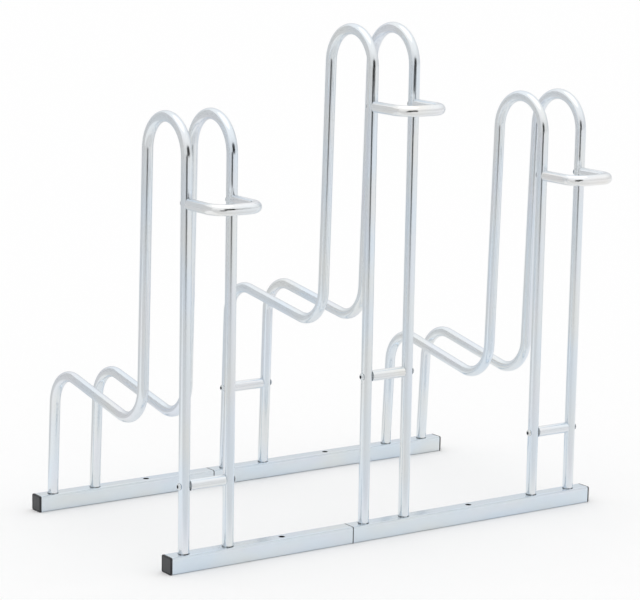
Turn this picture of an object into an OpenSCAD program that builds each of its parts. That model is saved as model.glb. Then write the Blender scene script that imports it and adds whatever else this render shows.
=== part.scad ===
/* [Base rails] */
// Outside width and height of the square rail tube
rail_side = 25; // [24:0.5:30]
// Wall thickness of the rail tube
rail_wall = 1.5; // [1.5:0.25:2]
// Outside corner radius of the rail tube
rail_corner_r = 2.5; // [2:0.25:3]
// Length of each short rail piece
short_rail_length = 307; // [300:1:320]
// Length of each long rail piece
long_rail_length = 446; // [430:1:470]
// Distance between the two rails, centre to centre
rail_spacing = 380; // [360:1:400]
// Gap left between the short and the long piece where they butt
seam_gap = 0.8; // [0.4:0.1:1.5]
// Length of the sleeve hidden inside each seam
sleeve_length = 110; // [90:1:120]
// Thickness of the end cap's outer plate
cap_plate = 3; // [2:0.25:4]
// Depth of the end cap's stem inside the rail
cap_stem = 12; // [10:1:14]
// Chamfer round the end cap's outer edge
cap_chamfer = 1; // [0.6:0.1:1.2]

/* [Floor anchors] */
// Anchor hole diameter through the rails
anchor_hole_d = 9; // [7:0.5:10]
// Left pair of anchor holes, from the left end
anchor_left = 193; // [180:1:205]
// Right pair of anchor holes, from the left end
anchor_right = 531; // [500:1:560]

/* [Wheel holders] */
// Outside diameter of the holder tube
tube_d = 16; // [15:0.5:18]
// Wall thickness of the holder tube
tube_wall = 1.5; // [1.25:0.25:2]
// Distance between the two tubes of a holder, centre to centre
tube_pair = 73; // [68:1:80]
// Left holder's centre, from the left end
left_holder = 65; // [60:1:75]
// Middle holder's centre, from the left end
middle_holder = 373; // [368:1:380]
// Right holder's centre, from the left end
right_holder = 689; // [670:1:696]
// Bend radius of every holder bend, at the tube's centre
bend_r = 52; // [46:1:55]
// Overall height of a low holder
low_height = 640; // [600:1:680]
// Height of the corner where a low holder's rising leg meets its slope
low_valley = 177; // [165:1:190]
// Height of the corner where a low holder's slope meets its rear leg
low_arch = 226; // [215:1:240]
// How much higher the middle holder's top is
top_rise = 110; // [90:1:130]
// How much higher the middle holder's valley corner is
valley_rise = 118; // [100:1:130]
// How much higher the middle holder's rear corner is
arch_rise = 105; // [95:1:120]
// Rearward lean of the rising leg, in degrees
rising_lean = 1.5; // [0:0.1:3]
// Forward lean of a low holder's rear leg, in degrees
low_rear_lean = 2.9; // [0:0.1:3.2]
// Forward lean of the middle holder's rear leg, in degrees
tall_rear_lean = 1.8; // [0:0.1:2.5]

/* [Crossbars and hoops] */
// Height of a low holder's front crossbar
low_crossbar = 122; // [100:1:150]
// Height of the middle holder's front crossbar
tall_front_crossbar = 244; // [220:1:260]
// Height of the middle holder's rear crossbar
tall_rear_crossbar = 155; // [140:1:180]
// Height of a low holder's hoop
low_hoop = 518; // [480:1:540]
// Height of the middle holder's hoop
tall_hoop = 636; // [600:1:660]
// Reach of a hoop in front of the legs, to the tube's centre
hoop_reach = 78; // [70:1:90]
// Bend radius of a hoop's corners, at the tube's centre
hoop_corner_r = 24; // [22:1:28]

/* [Screws] */
// Screw thread diameter
screw_d = 6; // [5:0.5:6]
// Screw hole in a tube wall
screw_hole_d = 6.6; // [6.4:0.1:7]
// Button head diameter
head_d = 10.5; // [9.5:0.5:11]
// Button head height
head_height = 3.3; // [3:0.1:3.6]
// Hex socket, across flats
socket_flats = 4; // [3:0.5:4]
// Length of the button head screws below the head
screw_length = 30; // [28:1:32]
// Length of the threaded plugs inside the tubes
plug_length = 16; // [15:1:20]

/* [Hidden] */
$fn = 64;

// Everything below is measured from the centre of the four anchor holes, on the floor.
left_end = -(anchor_left + anchor_right) / 2;
rail_left = left_end + cap_plate;
seam_x = rail_left + short_rail_length;
rail_right = seam_x + long_rail_length;
short_end = seam_x - seam_gap / 2;
long_start = seam_x + seam_gap / 2;
front_y = -rail_spacing / 2;
rear_y = rail_spacing / 2;
anchor_xs = [left_end + anchor_left, left_end + anchor_right];

// Holders in order from the left: centre x and whether it is the tall one
LEFT = 0;
MIDDLE = 1;
RIGHT = 2;
holder_xs = [left_end + left_holder, left_end + middle_holder, left_end + right_holder];
function is_tall(holder) = holder == MIDDLE;
function side_x(holder, side) = holder_xs[holder] + side * tube_pair / 2;

// Radii and running clearances
tube_r = tube_d / 2;
bore_r = tube_r - tube_wall;
press_gap = 0.05;
slide_gap = 0.15;
foot_gap = 0.5;
foot_hole_r = tube_r + foot_gap;
anchor_r = anchor_hole_d / 2;
screw_r = screw_d / 2;
screw_hole_r = screw_hole_d / 2;
thread_r = screw_r + press_gap;
plug_r = bore_r - press_gap;
least_corner_r = 0.5;
rail_inner_corner_r = max(rail_corner_r - rail_wall, least_corner_r);
rail_mid_z = rail_side / 2;
past = 1;

// How much a bend thins the tube's radius, and the degrees by which it runs into the straights
bend_thinning = 0.05;
bend_run_in = 0.5;

// Countersunk screws under the feet: head radius, cone height, how far the head is sunk
sunk_head_r = 5.8;
sunk_cone = sunk_head_r - screw_r;
sunk_depth = 0.2;
foot_screw_length = 14;
socket_depth = 2;
socket_gap = 0.1;

// Heights and leans of a holder, low or tall
function top_z(tall) = low_height - tube_r + bend_thinning + (tall ? top_rise : 0);
function valley_z(tall) = low_valley + (tall ? valley_rise : 0);
function arch_z(tall) = low_arch + (tall ? arch_rise : 0);
function rear_lean(tall) = tall ? tall_rear_lean : low_rear_lean;
function front_crossbar_z(tall) = tall ? tall_front_crossbar : low_crossbar;
function hoop_z(tall) = tall ? tall_hoop : low_hoop;

// Points of a holder's centreline, as [y, z] behind the front leg.
// Top bend centre, end of the top bend, valley corner and rear corner.
function bend_centre(tall) = [bend_r, top_z(tall) - bend_r];
function bend_end(tall) = bend_centre(tall) + bend_r * [cos(rising_lean), sin(rising_lean)];
function valley(tall) =
    let (start = bend_end(tall), fall = start[1] - valley_z(tall))
    [start[0] + fall * tan(rising_lean), valley_z(tall)];
function arch(tall) = [rail_spacing - arch_z(tall) * tan(rear_lean(tall)), arch_z(tall)];
function rear_axis_y(tall, z) = rear_y - z * tan(rear_lean(tall));

// Direction of a step in the y-z plane, in degrees from +y
function heading(from, to) = atan2(to[1] - from[1], to[0] - from[0]);
function unit(angle) = [cos(angle), sin(angle)];

// Square section with round corners, centred
module round_square(side, corner_r) {
    inner = side - 2 * corner_r;
    square([side, inner], center = true);
    square([inner, side], center = true);
    for (x = [-1, 1], y = [-1, 1])
        translate([x * inner / 2, y * inner / 2])
            circle(r = corner_r);
}

// Square tube lying along x, its section centred at the origin
module square_tube(side, wall, corner_r, length) {
    rotate([90, 0, 90])
        difference() {
            linear_extrude(length)
                round_square(side, corner_r);
            translate([0, 0, -past])
                linear_extrude(length + 2 * past)
                    round_square(side - 2 * wall, max(corner_r - wall, least_corner_r));
        }
}

// Holes for the two feet of every holder that stands on this rail, with countersinks below
module foot_holes(y, lean_of_low, lean_of_tall) {
    for (holder = [LEFT, MIDDLE, RIGHT], side = [-1, 1]) {
        lean = is_tall(holder) ? lean_of_tall : lean_of_low;
        translate([side_x(holder, side), y - rail_side * tan(lean), rail_mid_z])
            cylinder(r = foot_hole_r, h = rail_side);
        translate([side_x(holder, side), y, 0])
            sunk_cone_cut();
    }
}

// Cone that seats a countersunk head, opening downwards at the floor
module sunk_cone_cut() {
    reach = sunk_cone + past;
    tip_z = sunk_depth + sunk_cone + press_gap;
    translate([0, 0, tip_z - reach])
        cylinder(r1 = screw_r + reach, r2 = screw_r, h = reach);
}

module anchor_holes(y) {
    for (x = anchor_xs)
        translate([x, y, -past])
            cylinder(r = anchor_r, h = rail_side + 2 * past);
}

// One rail piece between two x, drilled for its feet and anchors
module rail_piece(start, end, y, lean_of_low, lean_of_tall) {
    color("#cfd6dc")
        difference() {
            translate([start, y, rail_mid_z])
                square_tube(rail_side, rail_wall, rail_corner_r, end - start);
            foot_holes(y, lean_of_low, lean_of_tall);
            anchor_holes(y);
        }
}

module rail_front_short() {
    rail_piece(rail_left, short_end, front_y, 0, 0);
}

module rail_front_long() {
    rail_piece(long_start, rail_right, front_y, 0, 0);
}

module rail_rear_short() {
    rail_piece(rail_left, short_end, rear_y, low_rear_lean, tall_rear_lean);
}

module rail_rear_long() {
    rail_piece(long_start, rail_right, rear_y, low_rear_lean, tall_rear_lean);
}

// Sleeve inside a seam. The middle holder's left foot passes through it and locks it.
module seam_sleeve(y, lean) {
    side = rail_side - 2 * rail_wall - 2 * slide_gap;
    color("#3b3d41")
        difference() {
            translate([seam_x - sleeve_length / 2, y, rail_mid_z])
                square_tube(side, rail_wall, rail_inner_corner_r, sleeve_length);
            translate([side_x(MIDDLE, -1), y - rail_mid_z * tan(lean), 0])
                cylinder(r = foot_hole_r + slide_gap, h = rail_side);
        }
}

module sleeve_front() {
    seam_sleeve(front_y, 0);
}

module sleeve_rear() {
    seam_sleeve(rear_y, tall_rear_lean);
}

// Square section with round corners, from z = 0 up, with a 45 degree chamfer round its top edge
module chamfered_plate(side, corner_r, thickness, chamfer) {
    inner = side - 2 * corner_r;
    skirt = thickness - chamfer;
    outline = [
        [-side / 2, 0],
        [side / 2, 0],
        [side / 2, skirt],
        [side / 2 - chamfer, thickness],
        [-side / 2 + chamfer, thickness],
        [-side / 2, skirt]
    ];
    corner_outline = [
        [0, 0],
        [corner_r, 0],
        [corner_r, skirt],
        [corner_r - chamfer, thickness],
        [0, thickness]
    ];
    for (turn = [0, 90])
        rotate([0, 0, turn])
            translate([0, inner / 2, 0])
                rotate([90, 0, 0])
                    linear_extrude(inner)
                        polygon(outline);
    for (x = [-1, 1], y = [-1, 1])
        translate([x * inner / 2, y * inner / 2, 0])
            rotate_extrude()
                polygon(corner_outline);
}

// End cap: chamfered outer plate, and a ribbed hollow stem pushed into the rail.
// Drawn with the plate's inner face at x = 0 and the stem towards +x.
module end_cap() {
    stem_side = rail_side - 2 * rail_wall - 2 * slide_gap;
    stem_wall = 1.6;
    rib_pitch = 3;
    rib_depth = 0.8;
    color("#26272a") {
        rotate([90, 0, -90])
            chamfered_plate(rail_side, rail_corner_r, cap_plate, cap_chamfer);
        difference() {
            rotate([90, 0, 90])
                linear_extrude(cap_stem)
                    round_square(stem_side, rail_inner_corner_r);
            translate([past, 0, 0])
                rotate([90, 0, 90])
                    linear_extrude(cap_stem)
                        square(stem_side - 2 * stem_wall, center = true);
            for (x = [rib_pitch : rib_pitch : cap_stem - rib_pitch])
                translate([x, 0, 0])
                    rib_groove(stem_side, rib_depth);
        }
    }
}

// Square ring taken out of the stem, which leaves ribs between two rings
module rib_groove(side, depth) {
    width = 1.4;
    difference() {
        cube([width, side + past, side + past], center = true);
        cube([width + past, side - 2 * depth, side - 2 * depth], center = true);
    }
}

module end_cap_front_left() {
    translate([rail_left, front_y, rail_mid_z])
        end_cap();
}

module end_cap_front_right() {
    translate([rail_right, front_y, rail_mid_z])
        mirror([1, 0, 0])
            end_cap();
}

module end_cap_rear_left() {
    translate([rail_left, rear_y, rail_mid_z])
        end_cap();
}

module end_cap_rear_right() {
    translate([rail_right, rear_y, rail_mid_z])
        mirror([1, 0, 0])
            end_cap();
}

// Straight rod of radius r in the y-z plane, between two [y, z] points, lengthened at each end
module rod(from, to, r, extra_from = 0, extra_to = 0) {
    angle = heading(from, to);
    length = norm(to - from) + extra_from + extra_to;
    start = from - extra_from * unit(angle);
    translate([0, start[0], start[1]])
        rotate([angle - 90, 0, 0])
            cylinder(r = r, h = length);
}

// Bend of radius bend_r in the y-z plane round a [y, z] centre, from one polar angle to another.
// It is drawn a hair slimmer than the straight stretches and runs a little way into them.
module bend(centre, from_angle, to_angle, r) {
    translate([0, centre[0], centre[1]])
        rotate([90, 0, 90])
            rotate([0, 0, from_angle - bend_run_in])
                rotate_extrude(angle = to_angle - from_angle + 2 * bend_run_in)
                    translate([bend_r, 0])
                        circle(r = r - bend_thinning);
}

// Solid of radius r along a holder tube's whole centreline, from the front foot to the rear foot
module holder_path(tall, r, past_foot) {
    centre = bend_centre(tall);
    down = rising_lean - 90;
    slope = heading(valley(tall), arch(tall));
    rear_down = -90 + rear_lean(tall);
    valley_tangent = bend_r * tan((slope - down) / 2);
    arch_tangent = bend_r * tan((slope - rear_down) / 2);
    valley_in = valley(tall) - valley_tangent * unit(down);
    valley_out = valley(tall) + valley_tangent * unit(slope);
    arch_in = arch(tall) - arch_tangent * unit(slope);
    arch_out = arch(tall) + arch_tangent * unit(rear_down);
    valley_centre = valley_out + bend_r * unit(slope + 90);
    arch_centre = arch_in + bend_r * unit(slope - 90);
    foot = [rail_spacing - rail_wall * tan(rear_lean(tall)), rail_wall];

    rod([0, rail_wall], [0, centre[1]], r, past_foot, 0);
    bend(centre, rising_lean, 180, r);
    rod(bend_end(tall), valley_in, r);
    bend(valley_centre, down - 90, slope - 90, r);
    rod(valley_out, arch_in, r);
    bend(arch_centre, rear_down + 90, slope + 90, r);
    rod(arch_out, foot, r, 0, past_foot);
}

// Round hole along x through both walls of a tube
module side_hole(y, z) {
    translate([0, y, z])
        rotate([0, 90, 0])
            cylinder(r = screw_hole_r, h = tube_d + 2 * past, center = true);
}

// Round hole along y through both walls of the front leg
module front_hole(z) {
    translate([0, 0, z])
        rotate([90, 0, 0])
            cylinder(r = screw_hole_r, h = tube_d + 2 * past, center = true);
}

// Everything below the inner face of a rail's bottom wall, which squares off the feet
module below_feet(half_width, half_depth) {
    translate([-half_width, -half_depth, rail_wall - tube_d])
        cube([2 * half_width, 2 * half_depth, tube_d]);
}

// One bent holder tube, its front leg at the origin's x and y
module holder_tube(tall) {
    rear_crossbar_y = rail_spacing - tall_rear_crossbar * tan(tall_rear_lean);
    color("#d7dde2")
        difference() {
            holder_path(tall, tube_r, tube_r);
            holder_path(tall, bore_r, tube_d);
            below_feet(tube_d, rail_spacing + tube_d);
            side_hole(0, front_crossbar_z(tall));
            front_hole(hoop_z(tall));
            if (tall)
                side_hole(rear_crossbar_y, tall_rear_crossbar);
        }
}

module placed_tube(holder, side) {
    translate([side_x(holder, side), front_y, 0])
        holder_tube(is_tall(holder));
}

module left_holder_left_tube() {
    placed_tube(LEFT, -1);
}

module left_holder_right_tube() {
    placed_tube(LEFT, 1);
}

module middle_holder_left_tube() {
    placed_tube(MIDDLE, -1);
}

module middle_holder_right_tube() {
    placed_tube(MIDDLE, 1);
}

module right_holder_left_tube() {
    placed_tube(RIGHT, -1);
}

module right_holder_right_tube() {
    placed_tube(RIGHT, 1);
}

// Straight tube between two legs, square cut where it meets them
module crossbar(x, y, z) {
    length = tube_pair - tube_d;
    color("#d7dde2")
        translate([x, y, z])
            rotate([0, 90, 0])
                difference() {
                    cylinder(r = tube_r, h = length, center = true);
                    cylinder(r = bore_r, h = length + 2 * past, center = true);
                }
}

module left_crossbar() {
    crossbar(holder_xs[LEFT], front_y, low_crossbar);
}

module middle_crossbar() {
    crossbar(holder_xs[MIDDLE], front_y, tall_front_crossbar);
}

module right_crossbar() {
    crossbar(holder_xs[RIGHT], front_y, low_crossbar);
}

module middle_rear_crossbar() {
    crossbar(holder_xs[MIDDLE], rear_axis_y(true, tall_rear_crossbar), tall_rear_crossbar);
}

// Solid of radius r along a hoop's centreline, the open ends at the legs' front faces
module hoop_path(r, past_end) {
    corner_y = -(hoop_reach - hoop_corner_r);
    corner_x = tube_pair / 2 - hoop_corner_r;
    arm = -corner_y - tube_r + past_end;
    for (side = [-1, 1]) {
        translate([side * tube_pair / 2, corner_y, 0])
            rotate([-90, 0, 0])
                cylinder(r = r, h = arm);
        translate([side * corner_x, corner_y, 0])
            rotate([0, 0, side > 0 ? -90 : 180])
                rotate_extrude(angle = 90)
                    translate([hoop_corner_r, 0])
                        circle(r = r);
    }
    translate([0, -hoop_reach, 0])
        rotate([0, 90, 0])
            cylinder(r = r, h = 2 * corner_x, center = true);
}

module hoop(holder) {
    color("#e1e5e9")
        translate([holder_xs[holder], front_y, hoop_z(is_tall(holder))])
            difference() {
                hoop_path(tube_r, 0);
                hoop_path(bore_r, past);
            }
}

module left_hoop() {
    hoop(LEFT);
}

module middle_hoop() {
    hoop(MIDDLE);
}

module right_hoop() {
    hoop(RIGHT);
}

// Hex socket cut, opening at z = 0 and running down from it
module hex_socket() {
    translate([0, 0, -socket_depth])
        cylinder(d = socket_flats / cos(30) + socket_gap, h = socket_depth + past, $fn = 6);
}

// Button head screw: the head's flat side at z = 0, its dome up, the shank down
module button_screw() {
    rim = 0.5;
    dome = head_height - rim;
    head_r = head_d / 2;
    dome_r = (head_r * head_r + dome * dome) / (2 * dome);
    difference() {
        union() {
            cylinder(r = head_r, h = rim);
            intersection() {
                translate([0, 0, head_height - dome_r])
                    sphere(r = dome_r);
                translate([0, 0, rim])
                    cylinder(r = head_r, h = dome);
            }
            translate([0, 0, -screw_length])
                cylinder(r = screw_r, h = screw_length);
        }
        translate([0, 0, head_height])
            hex_socket();
    }
}

// Threaded plug: a drilled cylinder from z = 0 down
module threaded_plug(length) {
    translate([0, 0, -length])
        difference() {
            cylinder(r = plug_r, h = length);
            translate([0, 0, -past])
                cylinder(r = thread_r, h = length + 2 * past);
        }
}

// Places its children at both ends of every crossbar, z pointing out of the holder.
// The distance is from the leg's axis, outwards.
module at_crossbar_ends(distance) {
    ends = [
        [LEFT, front_y, low_crossbar],
        [MIDDLE, front_y, tall_front_crossbar],
        [MIDDLE, rear_axis_y(true, tall_rear_crossbar), tall_rear_crossbar],
        [RIGHT, front_y, low_crossbar]
    ];
    for (end = ends, side = [-1, 1])
        translate([side_x(end[0], side) + side * distance, end[1], end[2]])
            rotate([0, side * 90, 0])
                children();
}

// Places its children at every hoop end, z pointing to the rear.
// The distance is from the leg's axis, rearwards.
module at_hoop_ends(distance) {
    for (holder = [LEFT, MIDDLE, RIGHT], side = [-1, 1])
        translate([side_x(holder, side), front_y + distance, hoop_z(is_tall(holder))])
            rotate([-90, 0, 0])
                children();
}

module crossbar_screws() {
    color("#aeb4ba")
        at_crossbar_ends(tube_r)
            button_screw();
}

module crossbar_plugs() {
    color("#9aa0a6")
        at_crossbar_ends(-tube_r)
            threaded_plug(plug_length);
}

module hoop_screws() {
    color("#aeb4ba")
        at_hoop_ends(tube_r)
            button_screw();
}

module hoop_plugs() {
    color("#9aa0a6")
        at_hoop_ends(-tube_r)
            threaded_plug(plug_length);
}

// Threaded plug in a foot, along the leg's axis, with an upright thread and a countersink
module foot_plug(lean) {
    difference() {
        rotate([lean, 0, 0])
            cylinder(r = plug_r, h = rail_wall + plug_length);
        below_feet(tube_d, tube_d);
        cylinder(r = thread_r, h = rail_wall + plug_length + past);
        sunk_cone_cut();
    }
}

module foot_plugs() {
    color("#9aa0a6")
        for (holder = [LEFT, MIDDLE, RIGHT], side = [-1, 1]) {
            translate([side_x(holder, side), front_y, 0])
                foot_plug(0);
            translate([side_x(holder, side), rear_y, 0])
                foot_plug(rear_lean(is_tall(holder)));
        }
}

// Countersunk screw from beneath, its head just inside the rail's underside
module foot_screw() {
    translate([0, 0, sunk_depth])
        difference() {
            union() {
                cylinder(r1 = sunk_head_r, r2 = screw_r, h = sunk_cone);
                cylinder(r = screw_r, h = foot_screw_length);
            }
            mirror([0, 0, 1])
                hex_socket();
        }
}

module foot_screws() {
    color("#aeb4ba")
        for (holder = [LEFT, MIDDLE, RIGHT], side = [-1, 1], y = [front_y, rear_y])
            translate([side_x(holder, side), y, 0])
                foot_screw();
}

rail_front_short();
rail_front_long();
rail_rear_short();
rail_rear_long();
sleeve_front();
sleeve_rear();
end_cap_front_left();
end_cap_front_right();
end_cap_rear_left();
end_cap_rear_right();
left_holder_left_tube();
left_holder_right_tube();
middle_holder_left_tube();
middle_holder_right_tube();
right_holder_left_tube();
right_holder_right_tube();
left_crossbar();
middle_crossbar();
right_crossbar();
middle_rear_crossbar();
left_hoop();
middle_hoop();
right_hoop();
crossbar_screws();
crossbar_plugs();
hoop_screws();
hoop_plugs();
foot_plugs();
foot_screws();
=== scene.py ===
"""Floor bike rack: bent zinc-plated tubes on square base rails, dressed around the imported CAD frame.

Everything is in metres. x runs along the rails, y from the hoop side to the rear rail, z is up,
and the origin is the centre of the four floor anchor holes, on the floor.
"""
import math

import bpy
import numpy as np
from mathutils import Matrix, Vector


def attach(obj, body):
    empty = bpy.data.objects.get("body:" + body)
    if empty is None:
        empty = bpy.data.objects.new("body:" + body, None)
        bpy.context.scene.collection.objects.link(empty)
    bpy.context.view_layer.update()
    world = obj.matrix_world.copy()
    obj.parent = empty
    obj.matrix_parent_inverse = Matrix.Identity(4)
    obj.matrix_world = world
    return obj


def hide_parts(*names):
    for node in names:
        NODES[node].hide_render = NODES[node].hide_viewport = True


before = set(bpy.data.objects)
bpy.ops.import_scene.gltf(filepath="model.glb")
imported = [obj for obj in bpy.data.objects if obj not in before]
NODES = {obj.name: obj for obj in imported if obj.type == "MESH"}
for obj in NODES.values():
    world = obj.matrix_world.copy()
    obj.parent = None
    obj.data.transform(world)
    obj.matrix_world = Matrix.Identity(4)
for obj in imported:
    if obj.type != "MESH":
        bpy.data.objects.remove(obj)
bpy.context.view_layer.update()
MM = 0.001
QUARTER = math.pi / 2

# Sizes of the tubes, their bends and the rails, as in the CAD
TUBE_R = 8 * MM
TUBE_WALL = 1.5 * MM
BEND_R = 52 * MM
HOOP_BEND_R = 24 * MM
RISING_LEAN = math.radians(1.5)
RAIL_SIDE = 25 * MM
RAIL_WALL = 1.5 * MM
RAIL_SPACING = 380 * MM
FRONT_Y = -RAIL_SPACING / 2
REAR_Y = RAIL_SPACING / 2
RAIL_ENDS = {"left": -359 * MM, "right": 394 * MM}
SEAM_X = -52 * MM

# Each holder: the corner heights of its side view and its rear leg's lean
LOW = {"top": 640 * MM, "valley": 177 * MM, "arch": 226 * MM, "lean": math.radians(2.9)}
TALL = {"top": 750 * MM, "valley": 295 * MM, "arch": 331 * MM, "lean": math.radians(1.8)}
HOLDERS = {"left": LOW, "middle": TALL, "right": LOW}

# Places of the holders, their crossbars and their hoops
PAIR_HALF = 36.5 * MM
HOLDER_X = {"left": -297 * MM, "middle": 11 * MM, "right": 327 * MM}
FRONT_CROSSBAR_Z = {"left": 122 * MM, "middle": 244 * MM, "right": 122 * MM}
REAR_CROSSBAR_Z = 155 * MM
REAR_CROSSBAR_Y = REAR_Y - REAR_CROSSBAR_Z * math.tan(TALL["lean"])
HOOP_Z = {"left": 518 * MM, "middle": 636 * MM, "right": 518 * MM}
HOOP_REACH = 78 * MM

# How finely curves are drawn
ARC_STEP = math.radians(3)
TUBE_SIDES = 40
TUBE_CHAMFER = 0.25 * MM
SCREW_SIDES = 48
DOME_RINGS = 9
CORNER_STEPS = 8
ROLL_RINGS = 7


# Mesh making

def mesh_object(name, points, faces, lay, sharp_degrees=35):
    """A smooth-shaded object from arrays of points and faces, with lay as its surface attribute."""
    mesh = bpy.data.meshes.new(name)
    mesh.from_pydata(points.reshape(-1, 3).tolist(), [], [list(face) for face in faces])
    mesh.polygons.foreach_set("use_smooth", np.ones(len(mesh.polygons), bool))
    mesh.set_sharp_from_angle(angle=math.radians(sharp_degrees))
    layer = mesh.attributes.new("lay", "FLOAT_VECTOR", "POINT")
    layer.data.foreach_set("vector", lay.reshape(-1).astype(np.float32))
    mesh.validate()
    mesh.update()
    made = bpy.data.objects.new(name, mesh)
    bpy.context.scene.collection.objects.link(made)
    return made


def grid_quads(rows, columns, close_rows=False):
    """Quads of a grid whose point (i, j) has the index i * columns + j.

    The grid is closed over j, and over i where close_rows is true.
    """
    i = np.arange(rows if close_rows else rows - 1)
    j = np.arange(columns)
    i, j = np.meshgrid(i, j, indexing="ij")
    next_i, next_j = (i + 1) % rows, (j + 1) % columns
    corners = [
        i * columns + j,
        next_i * columns + j,
        next_i * columns + next_j,
        i * columns + next_j,
    ]
    return np.stack(corners, axis=-1).reshape(-1, 4)


# Centrelines, as points in a plane with the heading at each point

def unit(angle):
    """The direction at an angle, as a vector of length 1."""
    return np.array([math.cos(angle), math.sin(angle)])


def straight(start, end, steps):
    """Points on the segment from start to end: start + t * (end - start) for t from 0 to 1."""
    t = np.linspace(0, 1, steps + 1)[:, None]
    heading = math.atan2(end[1] - start[1], end[0] - start[0])
    return start + t * (end - start), np.full(steps + 1, heading)


def arc(centre, radius, start, end):
    """Points c + r * (cos a, sin a) for a from start to end; the heading is square to the radius."""
    steps = max(2, int(math.ceil(abs(end - start) / ARC_STEP)))
    angle = np.linspace(start, end, steps + 1)
    turn = math.copysign(QUARTER, end - start)
    points = centre + radius * np.stack([np.cos(angle), np.sin(angle)], axis=1)
    return points, angle + turn


def joined(*stretches):
    """One centreline from stretches that follow each other, without the doubled points between them."""
    points = [stretches[0][0]] + [stretch[0][1:] for stretch in stretches[1:]]
    headings = [stretches[0][1]] + [stretch[1][1:] for stretch in stretches[1:]]
    return np.concatenate(points), np.concatenate(headings)


def holder_centreline(shape):
    """The side view of a holder tube, as (y, z) behind its front leg.

    Up the front leg, over the top bend, down the rising leg, round the valley, up the slope, over
    the rear bend and down the rear leg. Each bend is an arc tangent to the straights beside it.
    """
    top = shape["top"] - TUBE_R
    centre = np.array([BEND_R, top - BEND_R])
    bend_end = centre + BEND_R * unit(RISING_LEAN)
    valley_y = bend_end[0] + (bend_end[1] - shape["valley"]) * math.tan(RISING_LEAN)
    valley = np.array([valley_y, shape["valley"]])
    rear = np.array([RAIL_SPACING - shape["arch"] * math.tan(shape["lean"]), shape["arch"]])
    down = RISING_LEAN - QUARTER
    slope = math.atan2(rear[1] - valley[1], rear[0] - valley[0])
    rear_down = shape["lean"] - QUARTER
    valley_cut = BEND_R * math.tan((slope - down) / 2)
    rear_cut = BEND_R * math.tan((slope - rear_down) / 2)
    valley_in = valley - valley_cut * unit(down)
    valley_out = valley + valley_cut * unit(slope)
    rear_in = rear - rear_cut * unit(slope)
    rear_out = rear + rear_cut * unit(rear_down)
    front_foot = np.array([0, RAIL_WALL])
    rear_foot = np.array([RAIL_SPACING - RAIL_WALL * math.tan(shape["lean"]), RAIL_WALL])
    return joined(
        straight(front_foot, np.array([0, centre[1]]), steps=24),
        arc(centre, BEND_R, math.pi, RISING_LEAN),
        straight(bend_end, valley_in, steps=16),
        arc(valley_out + BEND_R * unit(slope + QUARTER), BEND_R, down - QUARTER, slope - QUARTER),
        straight(valley_out, rear_in, steps=6),
        arc(rear_in + BEND_R * unit(slope - QUARTER), BEND_R, slope + QUARTER, rear_down + QUARTER),
        straight(rear_out, rear_foot, steps=8),
    )


def hoop_centreline():
    """The plan of a hoop, as (x, y) from the middle between the legs: out, across, and back."""
    corner = HOOP_REACH - HOOP_BEND_R
    inner = PAIR_HALF - HOOP_BEND_R
    return joined(
        straight(np.array([-PAIR_HALF, -TUBE_R]), np.array([-PAIR_HALF, -corner]), steps=5),
        arc(np.array([-inner, -corner]), HOOP_BEND_R, 2 * QUARTER, 3 * QUARTER),
        straight(np.array([-inner, -HOOP_REACH]), np.array([inner, -HOOP_REACH]), steps=4),
        arc(np.array([inner, -corner]), HOOP_BEND_R, -QUARTER, 0),
        straight(np.array([PAIR_HALF, -corner]), np.array([PAIR_HALF, -TUBE_R]), steps=5),
    )


def tube(name, route, to_world, across, seed, lowest=None):
    """A hollow tube along a flat centreline, its section a circle square to the heading.

    A point of the outer wall is c(s) + R * (cos a * across + sin a * n(s)), where c is the
    centreline, n is the in-plane normal and a runs round the section. The same rings at the inner
    radius, taken backwards, are the bore, and a short chamfer closes each end, so the grid of
    rings is closed both ways. The attribute holds (length along + seed, R cos a, R sin a), and
    the seed sets each tube's place in the pattern. A foot whose rings would reach below lowest is
    cut level there.
    """
    flat, heading = route
    normal = np.stack([-np.sin(heading), np.cos(heading)], axis=1)
    forward = np.stack([np.cos(heading), np.sin(heading)], axis=1)
    along = np.concatenate([[0], np.cumsum(np.linalg.norm(np.diff(flat, axis=0), axis=1))])
    last = len(flat) - 1
    # Each row of the list is a centreline index, a radius and a shift along the heading
    start_rows = [(0, TUBE_R - TUBE_CHAMFER, 0), (0, TUBE_R, TUBE_CHAMFER)]
    outer_rows = [(k, TUBE_R, 0) for k in range(1, last)]
    end_rows = [(last, TUBE_R, -TUBE_CHAMFER), (last, TUBE_R - TUBE_CHAMFER, 0)]
    bore_rows = [(k, TUBE_R - TUBE_WALL, 0) for k in range(last, -1, -1)]
    rows = start_rows + outer_rows + end_rows + bore_rows
    index = np.array([row[0] for row in rows])
    radius = np.array([row[1] for row in rows])[:, None, None]
    shift = np.array([row[2] for row in rows])[:, None]
    centre = to_world(flat[index] + shift * forward[index])[:, None, :]
    n = (to_world(normal[index]) - to_world(np.zeros((1, 2))))[:, None, :]
    angle = np.linspace(0, 4 * QUARTER, TUBE_SIDES, endpoint=False)[None, :, None]
    points = centre + radius * (np.cos(angle) * across + np.sin(angle) * n)
    if lowest is not None:
        points[..., 2] = np.maximum(points[..., 2], lowest)
    one_value = points.shape[:2] + (1,)
    lay = np.concatenate(
        [
            np.broadcast_to(along[index][:, None, None] + seed, one_value),
            np.broadcast_to(TUBE_R * np.cos(angle), one_value),
            np.broadcast_to(TUBE_R * np.sin(angle), one_value),
        ],
        axis=2,
    )
    return mesh_object(name, points, grid_quads(len(rows), TUBE_SIDES, close_rows=True), lay)


def keep(piece, material, slot_name, *nodes):
    """Gives a piece its material and body, and puts it in place of its CAD nodes. Its slot_name is not
    used.
    """
    piece.data.materials.clear()
    piece.data.materials.append(material)
    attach(piece, "root")
    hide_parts(*nodes)


# Turned and moulded pieces

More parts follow.
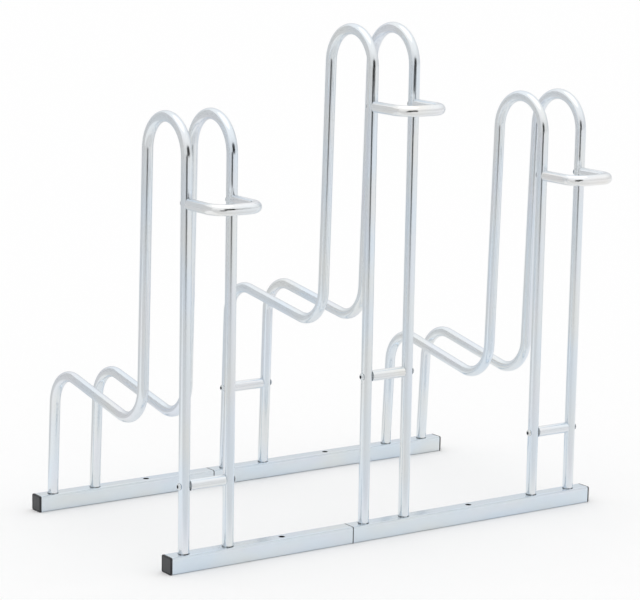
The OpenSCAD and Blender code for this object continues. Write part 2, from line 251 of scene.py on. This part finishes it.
def ring_stack(rings):
    """Points and faces of a stack of rings, each given as an array of points.

    A pole closes each end, at the mean of the first or the last ring, so every seam is closed.
    """
    stack = np.stack(rings)
    rows, columns, _ = stack.shape
    points = np.concatenate([stack.reshape(-1, 3), [stack[0].mean(0)], [stack[-1].mean(0)]])
    sides = grid_quads(rows, columns).tolist()
    first, last = rows * columns, rows * columns + 1
    base = (rows - 1) * columns
    caps = [(first, j, (j + 1) % columns) for j in range(columns)]
    caps += [(last, base + (j + 1) % columns, base + j) for j in range(columns)]
    return points, sides + caps


def marked(points, rings, count):
    """An attribute whose first value is 1 on a stack's first rings and their pole, and 0 elsewhere."""
    lay = np.zeros_like(points)
    lay[:count * len(rings[0]), 0] = 1
    lay[-2, 0] = 1
    return lay


def screw_rings():
    """Rings of a button head screw, from its socket floor out over the dome and down the shank.

    The socket's rings are hexagons of half-width f: r(a) = f / cos(a'), with a' the angle from the
    nearest flat. The dome is a circle's arc from the socket's mouth to the rim, r = R sin t and
    z = h - R (1 - cos t). All other rings are circles. Also returns how many rings the socket has.
    """
    head_r, head_h, rim, rim_edge = 5.25 * MM, 3.3 * MM, 0.5 * MM, 0.15 * MM
    flat, depth, drill_point, mouth = 2.05 * MM, 2.0 * MM, 0.35 * MM, 2.55 * MM
    shank_r, shank, shank_chamfer = 3 * MM, 30 * MM, 0.6 * MM
    dome = head_h - rim
    dome_r = (head_r ** 2 + dome ** 2) / (2 * dome)
    mouth_t, rim_t = math.asin(mouth / dome_r), math.asin(head_r / dome_r)
    mouth_z = head_h - dome_r * (1 - math.cos(mouth_t))
    socket = [
        (flat * 0.2, head_h - depth - drill_point),
        (flat, head_h - depth),
        (flat, mouth_z - 0.3 * MM),
        (flat * 1.04, mouth_z - 0.12 * MM),
    ]
    outside = [(mouth, mouth_z)]
    for t in np.linspace(mouth_t, rim_t, DOME_RINGS)[1:]:
        outside.append((dome_r * math.sin(t), head_h - dome_r * (1 - math.cos(t))))
    outside += [
        (head_r, rim_edge),
        (head_r - rim_edge, 0),
        (shank_r, 0),
        (shank_r, -shank + shank_chamfer),
        (shank_r - shank_chamfer, -shank),
    ]
    sixth = math.pi / 3
    angle = np.linspace(0, 4 * QUARTER, SCREW_SIDES, endpoint=False)
    hexagon = 1 / np.cos((angle + sixth / 2) % sixth - sixth / 2)
    circle = np.ones_like(angle)
    rings = []
    for rows, outline in ((socket, hexagon), (outside, circle)):
        for radius, z in rows:
            r = radius * outline
            ring = [r * np.cos(angle), r * np.sin(angle), np.full_like(angle, z)]
            rings.append(np.stack(ring, axis=1))
    return rings, len(socket)


def screws(name, places):
    """Several screws as one piece.

    A place is (head seat, direction the head points in, turn of its socket). The first value of
    the attribute is 1 in the sockets and 0 elsewhere.
    """
    rings, socket_rings = screw_rings()
    points, faces = ring_stack(rings)
    lay = np.tile(marked(points, rings, socket_rings), (len(places), 1))
    all_points, all_faces = [], []
    for seat, out, turn in places:
        w = np.array(out, float)
        u = np.cross([0, 0, 1.0], w)
        v = np.cross(w, u)
        c, s = math.cos(turn), math.sin(turn)
        axes = np.stack([c * u + s * v, c * v - s * u, w])
        start = len(points) * len(all_points)
        all_points.append(points @ axes + seat)
        all_faces += [tuple(k + start for k in face) for face in faces]
    return mesh_object(name, np.concatenate(all_points), all_faces, lay, sharp_degrees=30)


def square_ring(side, corner_r, x):
    """A square with rounded corners in the plane x: corner centres plus corner_r at even turns."""
    half = side / 2 - corner_r
    points = []
    for quarter in range(4):
        turn = np.linspace(quarter, quarter + 1, CORNER_STEPS + 1) * QUARTER
        middle = unit((quarter + 0.5) * QUARTER) * math.sqrt(2) * half
        corner = [middle[0] + corner_r * np.cos(turn), middle[1] + corner_r * np.sin(turn)]
        points.append(np.stack(corner, axis=1))
    flat = np.concatenate(points)
    return np.column_stack([np.full(len(flat), x), flat])


def end_cap(name, x, y, inwards):
    """A moulded end cap: a plate with a sunk panel and a rolled edge, and its ribbed stem.

    x is where the rail ends and inwards is +1 or -1, the way that the stem points. The rings run
    from the middle of the panel up its step, over the quarter round of the edge, down the side and
    along the stem. The first value of the attribute is 1 on the panel and 0 elsewhere.
    """
    thickness, roll, corner, foot_step = 3 * MM, 1.0 * MM, 2.5 * MM, 0.1 * MM
    sunk, panel_side, panel_corner, panel_step = 0.25 * MM, RAIL_SIDE - 4.8 * MM, 1.2 * MM, 0.1 * MM
    stem, stem_side, stem_corner = 12 * MM, 21.7 * MM, 1.0 * MM
    hollow_side, hollow_corner, hollow_floor = 18.5 * MM, 0.4 * MM, 1 * MM
    ribs, rib_depth, rib_pitch = 3, 0.8 * MM, 3 * MM
    groove = ((-0.7 * MM, 0), (-0.6 * MM, rib_depth), (0.6 * MM, rib_depth), (0.7 * MM, 0))

    rings = []
    for share in (0.05, 0.4, 0.75, 0.97):
        rings.append(square_ring(panel_side * share, panel_corner * share, -thickness + sunk))
    panel_rings = len(rings)
    rings.append(square_ring(panel_side, panel_corner, -thickness + 0.8 * sunk))
    rings.append(square_ring(panel_side + 2 * panel_step, panel_corner + panel_step, -thickness))
    for t in np.linspace(0, QUARTER, ROLL_RINGS):
        inset = roll * (1 - math.sin(t))
        height = roll * (1 - math.cos(t))
        rings.append(square_ring(RAIL_SIDE - 2 * inset, corner - inset, -thickness + height))
    rings.append(square_ring(RAIL_SIDE, corner, -foot_step))
    rings.append(square_ring(RAIL_SIDE - 2 * foot_step, corner, 0))
    rings.append(square_ring(stem_side, stem_corner, 0))
    for k in range(1, ribs + 1):
        for shift, inset in groove:
            rings.append(square_ring(stem_side - 2 * inset, stem_corner, k * rib_pitch + shift))
    rings.append(square_ring(stem_side, stem_corner, stem))
    rings.append(square_ring(hollow_side, hollow_corner, stem))
    rings.append(square_ring(hollow_side, hollow_corner, hollow_floor))

    points, faces = ring_stack(rings)
    lay = marked(points, rings, panel_rings)
    points[:, 0] *= inwards
    faces = [face[::-1] for face in faces] if inwards > 0 else faces
    return mesh_object(name, points + np.array([x, y, RAIL_SIDE / 2]), faces, lay, sharp_degrees=40)


# Shader nodes

def new_group(name, inputs, outputs):
    """An empty shader node group with its sockets, given as (name, kind, default) and (name, kind)."""
    group = bpy.data.node_groups.new(name, "ShaderNodeTree")
    for label, kind, default in inputs:
        socket = group.interface.new_socket(label, in_out="INPUT", socket_type=kind)
        if default is not None:
            socket.default_value = default
    for label, kind in outputs:
        group.interface.new_socket(label, in_out="OUTPUT", socket_type=kind)
    return group


def add(tree, kind, links=(), **settings):
    """Adds a node, sets its properties, and links its inputs, by socket name or number."""
    node = tree.nodes.new(kind)
    for key, value in settings.items():
        setattr(node, key, value)
    for where, source in links:
        tree.links.new(source, node.inputs[where])
    return node


def noise(tree, vector, scale, detail=2.0, roughness=0.5):
    """Noise over a vector socket, in 0 to 1."""
    node = add(tree, "ShaderNodeTexNoise", [("Vector", vector)])
    node.inputs["Scale"].default_value = scale
    node.inputs["Detail"].default_value = detail
    node.inputs["Roughness"].default_value = roughness
    return node.outputs["Fac"]


def stretched(tree, vector, factors):
    """The vector times a factor on each axis."""
    node = add(tree, "ShaderNodeVectorMath", [(0, vector)], operation="MULTIPLY")
    node.inputs[1].default_value = factors
    return node.outputs[0]


def component(tree, vector, axis):
    """The X, Y or Z of a vector."""
    return add(tree, "ShaderNodeSeparateXYZ", [(0, vector)]).outputs[axis]


def remap(tree, value, low, high, to_low, to_high):
    """The value moved linearly from the range low..high to to_low..to_high, held at its ends."""
    node = add(tree, "ShaderNodeMapRange", [("Value", value)], clamp=True)
    for name, number in (("From Min", low), ("From Max", high), ("To Min", to_low), ("To Max", to_high)):
        node.inputs[name].default_value = number
    return node.outputs[0]


def combine(tree, a, b, operation="ADD"):
    """Two values, or a value and a number, joined by a Math node."""
    node = add(tree, "ShaderNodeMath", operation=operation)
    for k, part in enumerate((a, b)):
        if isinstance(part, (int, float)):
            node.inputs[k].default_value = part
        else:
            tree.links.new(part, node.inputs[k])
    return node.outputs[0]


def distance(tree, value, middle):
    """How far the value is from a number."""
    return combine(tree, combine(tree, value, middle, "SUBTRACT"), 0, "ABSOLUTE")


def mixed(tree, factor, a, b, mode="MIX"):
    """Two colours mixed; each is a colour value or a socket."""
    node = add(tree, "ShaderNodeMix", data_type="RGBA", blend_type=mode)
    for where, part in ((0, factor), (6, a), (7, b)):
        if isinstance(part, (tuple, float, int)):
            node.inputs[where].default_value = part
        else:
            tree.links.new(part, node.inputs[where])
    return node.outputs[2]


def chosen(tree, factor, a, b):
    """The value a where the factor is 0 and b where it is 1; b is a socket, and a may be a number."""
    node = add(tree, "ShaderNodeMix", [(0, factor), (3, b)], data_type="FLOAT")
    if isinstance(a, float):
        node.inputs[2].default_value = a
    else:
        tree.links.new(a, node.inputs[2])
    return node.outputs[0]


def grey_colour(tree, value):
    """A value as a grey colour."""
    return add(tree, "ShaderNodeCombineColor", [(k, value) for k in range(3)]).outputs[0]


def object_vector(tree):
    """The place on the object, in metres."""
    return add(tree, "ShaderNodeTexCoord").outputs["Object"]


def lay_vector(tree):
    """The piece's own surface attribute."""
    return add(tree, "ShaderNodeAttribute", attribute_name="lay").outputs["Vector"]


def base_material(name):
    """A material with its Principled shader and its output, and nothing else."""
    made = bpy.data.materials.new(name)
    made.use_nodes = True
    tree = made.node_tree
    tree.nodes.clear()
    shader = add(tree, "ShaderNodeBsdfPrincipled")
    add(tree, "ShaderNodeOutputMaterial", [("Surface", shader.outputs[0])])
    return made, tree, shader


def roughen(tree, shader, height, strength, depth):
    """Gives a shader a relief from a height in 0 to 1, of a strength and a depth in metres."""
    relief = add(tree, "ShaderNodeBump", [("Height", height)])
    relief.inputs["Strength"].default_value = strength
    relief.inputs["Distance"].default_value = depth
    tree.links.new(relief.outputs[0], shader.inputs["Normal"])


# Finishes

# The tints multiply the plating's shade. A scale is in cycles per metre, and three numbers are the
# scales along x, y and z.
DEFAULT_SHADE = (0.62, 0.67, 0.71, 1)
BLUE_TINT = (0.965, 1.0, 1.035, 1)
STRAW_TINT = (1.03, 1.005, 0.965, 1)
VIOLET_TINT = (1.02, 0.985, 1.015, 1)
DRAW_LINES = (6.0, 3200.0, 3200.0)
MOTTLING = 700.0
SCUFF_ZONES = 28.0
SCUFF_LINES = (60.0, 900.0, 900.0)
SCUFF_ROUGHNESS = 0.14
PLATE_GREY = (0.975, 1.02)
PLATE_ROUGHNESS = (0.15, 0.21)


def zinc_plate_group():
    """Bright zinc plate: drifting tints, fine draw lines, mottling and light scuffs.

    Its vector is in metres, with x along the grain. The tint drifts over 60 to 150 mm, the lines
    are 0.3 mm wide, and the mottling is about 1.5 mm.
    """
    tree = new_group(
        "zinc_plate",
        [("Vector", "NodeSocketVector", None), ("Shade", "NodeSocketColor", DEFAULT_SHADE)],
        [("Color", "NodeSocketColor"), ("Roughness", "NodeSocketFloat"), ("Height", "NodeSocketFloat")],
    )
    source = add(tree, "NodeGroupInput")
    sink = add(tree, "NodeGroupOutput")
    vector, shade = source.outputs["Vector"], source.outputs["Shade"]

    drift = noise(tree, stretched(tree, vector, (1.0, 2.5, 2.5)), 9.0, 1.0)
    violet = noise(tree, stretched(tree, vector, (0.6, 3.0, 3.0)), 16.0)
    tint = mixed(tree, remap(tree, drift, 0.35, 0.65, 0, 1), BLUE_TINT, STRAW_TINT)
    tint = mixed(tree, remap(tree, violet, 0.5, 0.7, 0, 0.5), tint, VIOLET_TINT)

    lines = noise(tree, stretched(tree, vector, DRAW_LINES), 1.0)
    mottle = noise(tree, vector, MOTTLING, 3.0, 0.6)
    grey = remap(tree, combine(tree, lines, mottle), 0.7, 1.3, *PLATE_GREY)
    color = mixed(tree, 1.0, shade, tint, "MULTIPLY")
    color = mixed(tree, 1.0, color, grey_colour(tree, grey), "MULTIPLY")

    scuff_zone = remap(tree, noise(tree, vector, SCUFF_ZONES), 0.6, 0.72, 0, 1)
    scuff_line = noise(tree, stretched(tree, vector, SCUFF_LINES), 1.0, 3.0)
    scuffs = combine(tree, scuff_zone, remap(tree, scuff_line, 0.6, 0.7, 0, 1), "MULTIPLY")
    rough = remap(tree, mottle, 0.3, 0.7, *PLATE_ROUGHNESS)
    rough = combine(tree, rough, combine(tree, scuffs, SCUFF_ROUGHNESS, "MULTIPLY"))

    line_height = combine(tree, lines, 0.7, "MULTIPLY")
    height = combine(tree, line_height, combine(tree, mottle, 0.3, "MULTIPLY"))
    tree.links.new(color, sink.inputs["Color"])
    tree.links.new(rough, sink.inputs["Roughness"])
    tree.links.new(height, sink.inputs["Height"])
    return tree


ZINC_PLATE = zinc_plate_group()
EDGE_TINT = (0.92, 0.94, 0.96, 1)
PLATE_DEPTH = 0.02 * MM


def zinc(name, shade, vector_of, bump=0.25, metallic=1.0):
    """Zinc-plated steel of a given shade, its grain along the x of its surface vector.

    A metallic value under 1 is a duller plating that also scatters light.
    """
    made, tree, shader = base_material(name)
    plating = add(tree, "ShaderNodeGroup", node_tree=ZINC_PLATE)
    tree.links.new(vector_of(tree), plating.inputs["Vector"])
    plating.inputs["Shade"].default_value = shade + (1,)
    tree.links.new(plating.outputs["Color"], shader.inputs["Base Color"])
    tree.links.new(plating.outputs["Roughness"], shader.inputs["Roughness"])
    roughen(tree, shader, plating.outputs["Height"], bump, PLATE_DEPTH)
    shader.inputs["Metallic"].default_value = metallic
    shader.inputs["Specular Tint"].default_value = EDGE_TINT
    return made


def darkened(made, mask, dark):
    """Mixes a dark colour into a material's base colour where the mask, a socket, is 1."""
    tree = made.node_tree
    shader = next(node for node in tree.nodes if node.type == "BSDF_PRINCIPLED")
    color = shader.inputs["Base Color"]
    tree.links.new(mixed(tree, mask, color.links[0].from_socket, dark + (1,)), color)


# A line fades out between the first and the second number, from the seam or up from the floor
SEAM_LINE = (0.7 * MM, 1.1 * MM)
# The seam line's colour: painted shade of the seam's gap, over the bare steel of the cut edges
CUT_EDGE_AND_GAP_SHADE = (0.16, 0.17, 0.18)
# Painted shade on the rails' inner walls
INSIDE_SHADE = (0.05, 0.05, 0.05)
# Painted shade in a broken band on each tube, just above where it enters the rail
FOOT_LINE = (RAIL_SIDE + 0.8 * MM, RAIL_SIDE + 1.7 * MM)
FOOT_SHADE = (0.12, 0.12, 0.12)
FOOT_PATCHES = 260.0
# Painted shade in the screws' hex sockets
SOCKET_SHADE = (0.10, 0.10, 0.11)


def rail_steel(name, shade):
    """Zinc-plated square tube with painted shade on its inner walls, and a dark line at its seam:
    painted shade of the seam's gap over the bare steel of its cut edges.

    The section's distance from its middle, the larger of the two, is blended over the wall. The line
    depends on the distance along the rail from the seam.
    """
    made = zinc(name, shade, object_vector)
    tree = made.node_tree
    parts = add(tree, "ShaderNodeSeparateXYZ", [(0, object_vector(tree))])
    from_seam = distance(tree, parts.outputs["X"], SEAM_X)
    darkened(made, remap(tree, from_seam, *SEAM_LINE, 1, 0), CUT_EDGE_AND_GAP_SHADE)
    half = RAIL_SIDE / 2
    aside = distance(tree, combine(tree, parts.outputs["Y"], 0, "ABSOLUTE"), RAIL_SPACING / 2)
    above = distance(tree, parts.outputs["Z"], half)
    farthest = combine(tree, aside, above, "MAXIMUM")
    # Painted shade on the inner walls, blended in over the wall's thickness
    darkened(made, remap(tree, farthest, half - RAIL_WALL, half - 0.2 * RAIL_WALL, 1, 0), INSIDE_SHADE)
    return made


def bent_tube_zinc(name, shade):
    """Zinc-plated tube with a broken line of painted shade where its foot enters the rail."""
    made = zinc(name, shade, lay_vector)
    tree = made.node_tree
    vector = object_vector(tree)
    at_rail = remap(tree, component(tree, vector, "Z"), *FOOT_LINE, 1, 0)
    patchy = remap(tree, noise(tree, vector, FOOT_PATCHES), 0.4, 0.6, 0.3, 1)
    darkened(made, combine(tree, at_rail, patchy, "MULTIPLY"), FOOT_SHADE)
    return made


def screw_steel(name, shade):
    """Zinc-plated screw steel, with painted shade in the sockets."""
    made = zinc(name, shade, object_vector, bump=0.15, metallic=0.6)
    tree = made.node_tree
    darkened(made, component(tree, lay_vector(tree), "X"), SOCKET_SHADE)
    return made


MOULD_GRAIN = 2400.0
MOULD_BLOOM = 160.0
MOULD_DEPTH = 0.05 * MM


def moulded_plastic(name, panel, border_shade):
    """Black moulded plastic with a spark-eroded grain of about 0.4 mm, paler on its panel; the darker
    black off the panel is painted shade on the edge and sides.
    """
    made, tree, shader = base_material(name)
    vector = object_vector(tree)
    grain = noise(tree, vector, MOULD_GRAIN)
    bloom = noise(tree, vector, MOULD_BLOOM, 3.0)
    # Off the panel the colour is darker, as painted shade on the cap's edge and sides
    color = mixed(tree, component(tree, lay_vector(tree), "X"), border_shade + (1,), panel + (1,))
    lighter = mixed(tree, 1.0, color, (1.25, 1.25, 1.25, 1), "MULTIPLY")
    tree.links.new(mixed(tree, bloom, color, lighter), shader.inputs["Base Color"])
    tree.links.new(remap(tree, grain, 0.3, 0.7, 0.42, 0.58), shader.inputs["Roughness"])
    roughen(tree, shader, grain, 0.35, MOULD_DEPTH)
    return made


def black_coat(name, color):
    """Thin black coating on steel, matt, with cloudy patches of about 8 mm."""
    made, tree, shader = base_material(name)
    cloud = noise(tree, object_vector(tree), 120.0, 3.0)
    lighter = tuple(c * 1.6 for c in color)
    tree.links.new(mixed(tree, cloud, color + (1,), lighter + (1,)), shader.inputs["Base Color"])
    tree.links.new(remap(tree, cloud, 0.3, 0.7, 0.45, 0.6), shader.inputs["Roughness"])
    return made


# The bent tubes, crossbars and hoops are one zinc plating; the crossbars' and hoops' lighter shades are
# painted light, for their upper sides taking more light
TUBE_ZINC = bent_tube_zinc("tube_zinc", (0.815, 0.86, 0.90))
CROSSBAR_ZINC = zinc("crossbar_zinc", (0.85, 0.875, 0.89), lay_vector)
HOOP_ZINC = zinc("hoop_zinc", (0.89, 0.90, 0.905), lay_vector)
RAIL_ZINC = rail_steel("rail_zinc", (0.77, 0.83, 0.88))
SCREW_ZINC = screw_steel("screw_zinc", (0.72, 0.75, 0.77))
PLUG_ZINC = zinc("plug_zinc", (0.74, 0.76, 0.78), object_vector, metallic=0.4)
SLEEVE_BLACK = black_coat("sleeve_black", (0.05, 0.05, 0.053))
CAP_PLASTIC = moulded_plastic("cap_plastic", panel=(0.040, 0.042, 0.045), border_shade=(0.014, 0.015, 0.018))


# The rack's pieces

SIDEWAYS = np.array([1.0, 0, 0])
UP = np.array([0, 0, 1.0])

# How far apart the pieces start in the plating's pattern, and how the screws' sockets are turned
BENT_TUBE_SEED_STEP = 3.7
CROSSBAR_SEED = 9.0
HOOP_SEED, HOOP_SEED_STEP = 31.0, 2.3
CROSSBAR_TURN_STEP, CROSSBAR_TURN_SIDE = 0.4, 0.2
HOOP_TURN_STEP, HOOP_TURN_SIDE = 0.5, 0.3


def side_view(x):
    """Turns (y, z) of a side view into world points in the plane x, from an origin at the front legs."""

    def to_world(yz):
        return np.column_stack([np.full(len(yz), x), yz[:, 0] + FRONT_Y, yz[:, 1]])

    return to_world


def plan_view(x, y, z):
    """Turns (u, v) of a level plan into world points, from an origin at x, y, z."""

    def to_world(uv):
        return np.column_stack([uv[:, 0] + x, uv[:, 1] + y, np.full(len(uv), z)])

    return to_world


for order, (holder, shape) in enumerate(HOLDERS.items()):
    route = holder_centreline(shape)
    for hand, sign in (("left", -1), ("right", 1)):
        node = f"{holder}_holder_{hand}_tube"
        view = side_view(HOLDER_X[holder] + sign * PAIR_HALF)
        seed = BENT_TUBE_SEED_STEP * order + sign
        bent = tube(f"{node}_bent", route, view, SIDEWAYS, seed, lowest=RAIL_WALL)
        keep(bent, TUBE_ZINC, "zinc_tube", node)

for order, holder in enumerate(HOLDERS):
    view = plan_view(HOLDER_X[holder], FRONT_Y, HOOP_Z[holder])
    seed = HOOP_SEED + HOOP_SEED_STEP * order
    hoop = tube(f"{holder}_hoop_bent", hoop_centreline(), view, UP, seed)
    keep(hoop, HOOP_ZINC, "zinc_hoop", f"{holder}_hoop")

crossbars = [
    (f"{holder}_crossbar", HOLDER_X[holder], FRONT_Y, FRONT_CROSSBAR_Z[holder])
    for holder in HOLDERS
]
crossbars.append(("middle_rear_crossbar", HOLDER_X["middle"], REAR_CROSSBAR_Y, REAR_CROSSBAR_Z))
crossbar_half = PAIR_HALF - TUBE_R
for order, (node, x, y, z) in enumerate(crossbars):
    route = straight(np.array([-crossbar_half, 0]), np.array([crossbar_half, 0]), steps=6)
    bar = tube(f"{node}_tube", route, plan_view(x, y, z), UP, CROSSBAR_SEED + order)
    keep(bar, CROSSBAR_ZINC, "zinc_crossbar", node)

crossbar_places = []
for order, (node, x, y, z) in enumerate(crossbars):
    for sign in (-1, 1):
        seat = np.array([x + sign * (PAIR_HALF + TUBE_R), y, z])
        turn = CROSSBAR_TURN_STEP * order + CROSSBAR_TURN_SIDE * sign
        crossbar_places.append((seat, (sign, 0, 0), turn))
hoop_places = []
for order, holder in enumerate(HOLDERS):
    for sign in (-1, 1):
        seat = np.array([HOLDER_X[holder] + sign * PAIR_HALF, FRONT_Y + TUBE_R, HOOP_Z[holder]])
        turn = HOOP_TURN_STEP * order + HOOP_TURN_SIDE * sign
        hoop_places.append((seat, (0, 1, 0), turn))
keep(screws("crossbar_button_screws", crossbar_places), SCREW_ZINC, "screw_zinc", "crossbar_screws")
keep(screws("hoop_button_screws", hoop_places), SCREW_ZINC, "screw_zinc", "hoop_screws")

for row, y in (("front", FRONT_Y), ("rear", REAR_Y)):
    for hand, x in RAIL_ENDS.items():
        cap = end_cap(f"cap_{row}_{hand}", x, y, 1 if hand == "left" else -1)
        keep(cap, CAP_PLASTIC, "cap_plastic", f"end_cap_{row}_{hand}")

KEPT = {
    "rail_front_short": RAIL_ZINC,
    "rail_front_long": RAIL_ZINC,
    "rail_rear_short": RAIL_ZINC,
    "rail_rear_long": RAIL_ZINC,
    "sleeve_front": SLEEVE_BLACK,
    "sleeve_rear": SLEEVE_BLACK,
    "crossbar_plugs": PLUG_ZINC,
    "hoop_plugs": PLUG_ZINC,
    "foot_plugs": PLUG_ZINC,
    "foot_screws": SCREW_ZINC,
}
for node, material in KEPT.items():
    for slot in NODES[node].material_slots:
        slot.material = material


# The photograph's camera, as a place, three turns and a focal length in pixels of its width

CAMERA_PLACE = Vector((-2.105002, -3.065773, 1.018893))
CAMERA_YAW, CAMERA_PITCH, CAMERA_ROLL = (math.radians(a) for a in (34.752, -10.594, 1.045))
FOCAL_PIXELS = 2507.803
PHOTO_WIDTH = 640
SENSOR_MM = 36


def camera():
    """Makes the photograph's camera and puts it to use."""
    forward = Vector((
        math.sin(CAMERA_YAW) * math.cos(CAMERA_PITCH),
        math.cos(CAMERA_YAW) * math.cos(CAMERA_PITCH),
        math.sin(CAMERA_PITCH),
    ))
    right = Vector((math.cos(CAMERA_YAW), -math.sin(CAMERA_YAW), 0))
    up = right.cross(forward)
    c, s = math.cos(CAMERA_ROLL), math.sin(CAMERA_ROLL)
    axes = Matrix((c * right + s * up, c * up - s * right, -forward)).transposed()
    data = bpy.data.cameras.new("camera")
    data.sensor_fit = "HORIZONTAL"
    data.sensor_width = SENSOR_MM
    data.lens = FOCAL_PIXELS / PHOTO_WIDTH * SENSOR_MM
    made = bpy.data.objects.new("camera", data)
    made.matrix_world = Matrix.Translation(CAMERA_PLACE) @ axes.to_4x4()
    bpy.context.scene.collection.objects.link(made)
    bpy.context.scene.camera = made


# Floor and studio panels

def plate(name, width, depth, material, place):
    """A flat stage rectangle, width by depth, at a place given as a matrix."""
    corners = np.array([(-1, -1, 0), (1, -1, 0), (1, 1, 0), (-1, 1, 0)])
    corners = corners * np.array([width / 2, depth / 2, 0])
    mesh = bpy.data.meshes.new(name)
    mesh.from_pydata([tuple(place @ Vector(corner)) for corner in corners], [], [(0, 1, 2, 3)])
    mesh.materials.append(material)
    made = bpy.data.objects.new(name, mesh)
    bpy.context.scene.collection.objects.link(made)
    return made


def matt_material(name):
    """A material that scatters light evenly, without gloss."""
    made, tree, shader = base_material(name)
    shader.inputs["Roughness"].default_value = 1.0
    shader.inputs["Specular IOR Level"].default_value = 0.0
    return made, tree, shader


# The floor's grey as drawn, as reflections see it far from the rack, from the left to the right end
# of its span, and as they see it near the rails, up to where the near edge begins
FLOOR_SIDE = 60
FLOOR_WHITE = 0.995
FLOOR_FAR = (0.69, 0.89)
FLOOR_SPAN = (-1.0, 2.0)
FLOOR_NEAR = 0.93
NEAR_EDGE = (0.30, 0.45)


def floor_paint():
    """A white floor that reflections see greyer, most of all to the left, and least beside the rails."""
    made, tree, shader = matt_material("floor_white")
    place = object_vector(tree)
    along = add(tree, "ShaderNodeVectorMath", [(0, place)], operation="DOT_PRODUCT")
    along.inputs[1].default_value = (math.cos(CAMERA_YAW), -math.sin(CAMERA_YAW), 0)
    far = remap(tree, along.outputs["Value"], *FLOOR_SPAN, *FLOOR_FAR)
    outside = remap(tree, distance(tree, component(tree, place, "Y"), 0), *NEAR_EDGE, 0, 1)
    reflected = chosen(tree, outside, FLOOR_NEAR, far)
    glossy = add(tree, "ShaderNodeLightPath").outputs["Is Glossy Ray"]
    grey = chosen(tree, glossy, FLOOR_WHITE, reflected)
    tree.links.new(grey_colour(tree, grey), shader.inputs["Base Color"])
    return made


def reflected_panel(name, grey, width, height, middle, facing):
    """An upright studio panel seen only in reflections, width by height, facing a level direction."""
    paint, tree, shader = matt_material(name + "_paint")
    shader.inputs["Base Color"].default_value = (grey, grey, grey, 1)
    towards = Vector(facing + (0,)).normalized()
    aside = Vector((-towards.y, towards.x, 0))
    turned = Matrix((aside, (0, 0, 1), towards)).transposed().to_4x4()
    made = plate(name, width, height, paint, Matrix.Translation(middle) @ turned)
    made.visible_camera = False
    made.visible_diffuse = False
    made.visible_shadow = False
    made.visible_transmission = False
    made.visible_volume_scatter = False


# The dark flag near the camera makes the narrow streak on the front legs, the one in front of the
# hoops the dark spot on each of them, and the pale card the greyer left side of all upright tubes.
DARK, PALE = 0.02, 0.68
TO_CAMERA = (-math.sin(CAMERA_YAW), -math.cos(CAMERA_YAW))
TO_LEFT = (-math.cos(CAMERA_YAW), math.sin(CAMERA_YAW))
CAMERA_FLAG_AWAY, CAMERA_FLAG_SIZE, CAMERA_FLAG_Z = 2.55, (1.3, 0.6), 0.3
HOOP_FLAG_SIZE, HOOP_FLAG_PLACE = (0.8, 0.39), Vector((-0.25, -1.0, 0.755))
SIDE_CARD_AWAY, SIDE_CARD_SIZE, SIDE_CARD_Z = 2.2, (4.0, 2.4), 1.2


def stage():
    """The floor and the three studio panels."""
    plate("floor", FLOOR_SIDE, FLOOR_SIDE, floor_paint(), Matrix.Identity(4))
    camera_side = Vector((
        TO_CAMERA[0] * CAMERA_FLAG_AWAY,
        TO_CAMERA[1] * CAMERA_FLAG_AWAY + FRONT_Y,
        CAMERA_FLAG_Z,
    ))
    left_side = Vector((TO_LEFT[0] * SIDE_CARD_AWAY, TO_LEFT[1] * SIDE_CARD_AWAY, SIDE_CARD_Z))
    from_camera = (-TO_CAMERA[0], -TO_CAMERA[1])
    from_left = (-TO_LEFT[0], -TO_LEFT[1])
    reflected_panel("camera_flag", DARK, *CAMERA_FLAG_SIZE, camera_side, from_camera)
    reflected_panel("hoop_flag", DARK, *HOOP_FLAG_SIZE, HOOP_FLAG_PLACE, (0, 1))
    reflected_panel("side_card", PALE, *SIDE_CARD_SIZE, left_side, from_left)


# Light

# Reflections see the surround at the horizon's value up to the first height, a direction's z, and
# at full strength above the second
DIFFUSE_SURROUND = 0.92
HORIZON = 0.78
SKY_FALL = (0.15, 0.65)
OVERHEAD_SPREAD = math.radians(60)


def studio_light():
    """A white surround at strength 1, a little less for diffuse rays, and a soft light from above.

    That light makes up what the surround lacks, so a white floor renders as written. Reflections
    see the surround fall off from overhead towards the horizon, as under a wide ceiling light.
    """
    world = bpy.data.worlds.new("surround")
    bpy.context.scene.world = world
    world.use_nodes = True
    tree = world.node_tree
    tree.nodes.clear()
    path = add(tree, "ShaderNodeLightPath")
    direction = add(tree, "ShaderNodeTexCoord").outputs["Generated"]
    reflected = remap(tree, component(tree, direction, "Z"), *SKY_FALL, HORIZON, 1.0)
    rays = path.outputs
    seen = combine(tree, rays["Is Camera Ray"], rays["Is Transmission Ray"], "MAXIMUM")
    plain = remap(tree, seen, 0, 1, DIFFUSE_SURROUND, 1.0)
    strength = chosen(tree, rays["Is Glossy Ray"], plain, reflected)
    background = add(tree, "ShaderNodeBackground", [("Strength", strength)])
    background.inputs["Color"].default_value = (1, 1, 1, 1)
    add(tree, "ShaderNodeOutputWorld", [("Surface", background.outputs[0])])
    lamp = bpy.data.lights.new("overhead", "SUN")
    lamp.angle = OVERHEAD_SPREAD
    lamp.energy = (1 - DIFFUSE_SURROUND) * math.pi
    overhead = bpy.data.objects.new("overhead", lamp)
    bpy.context.scene.collection.objects.link(overhead)


stage()
studio_light()
camera()
bpy.context.scene.view_settings.view_transform = "Standard"
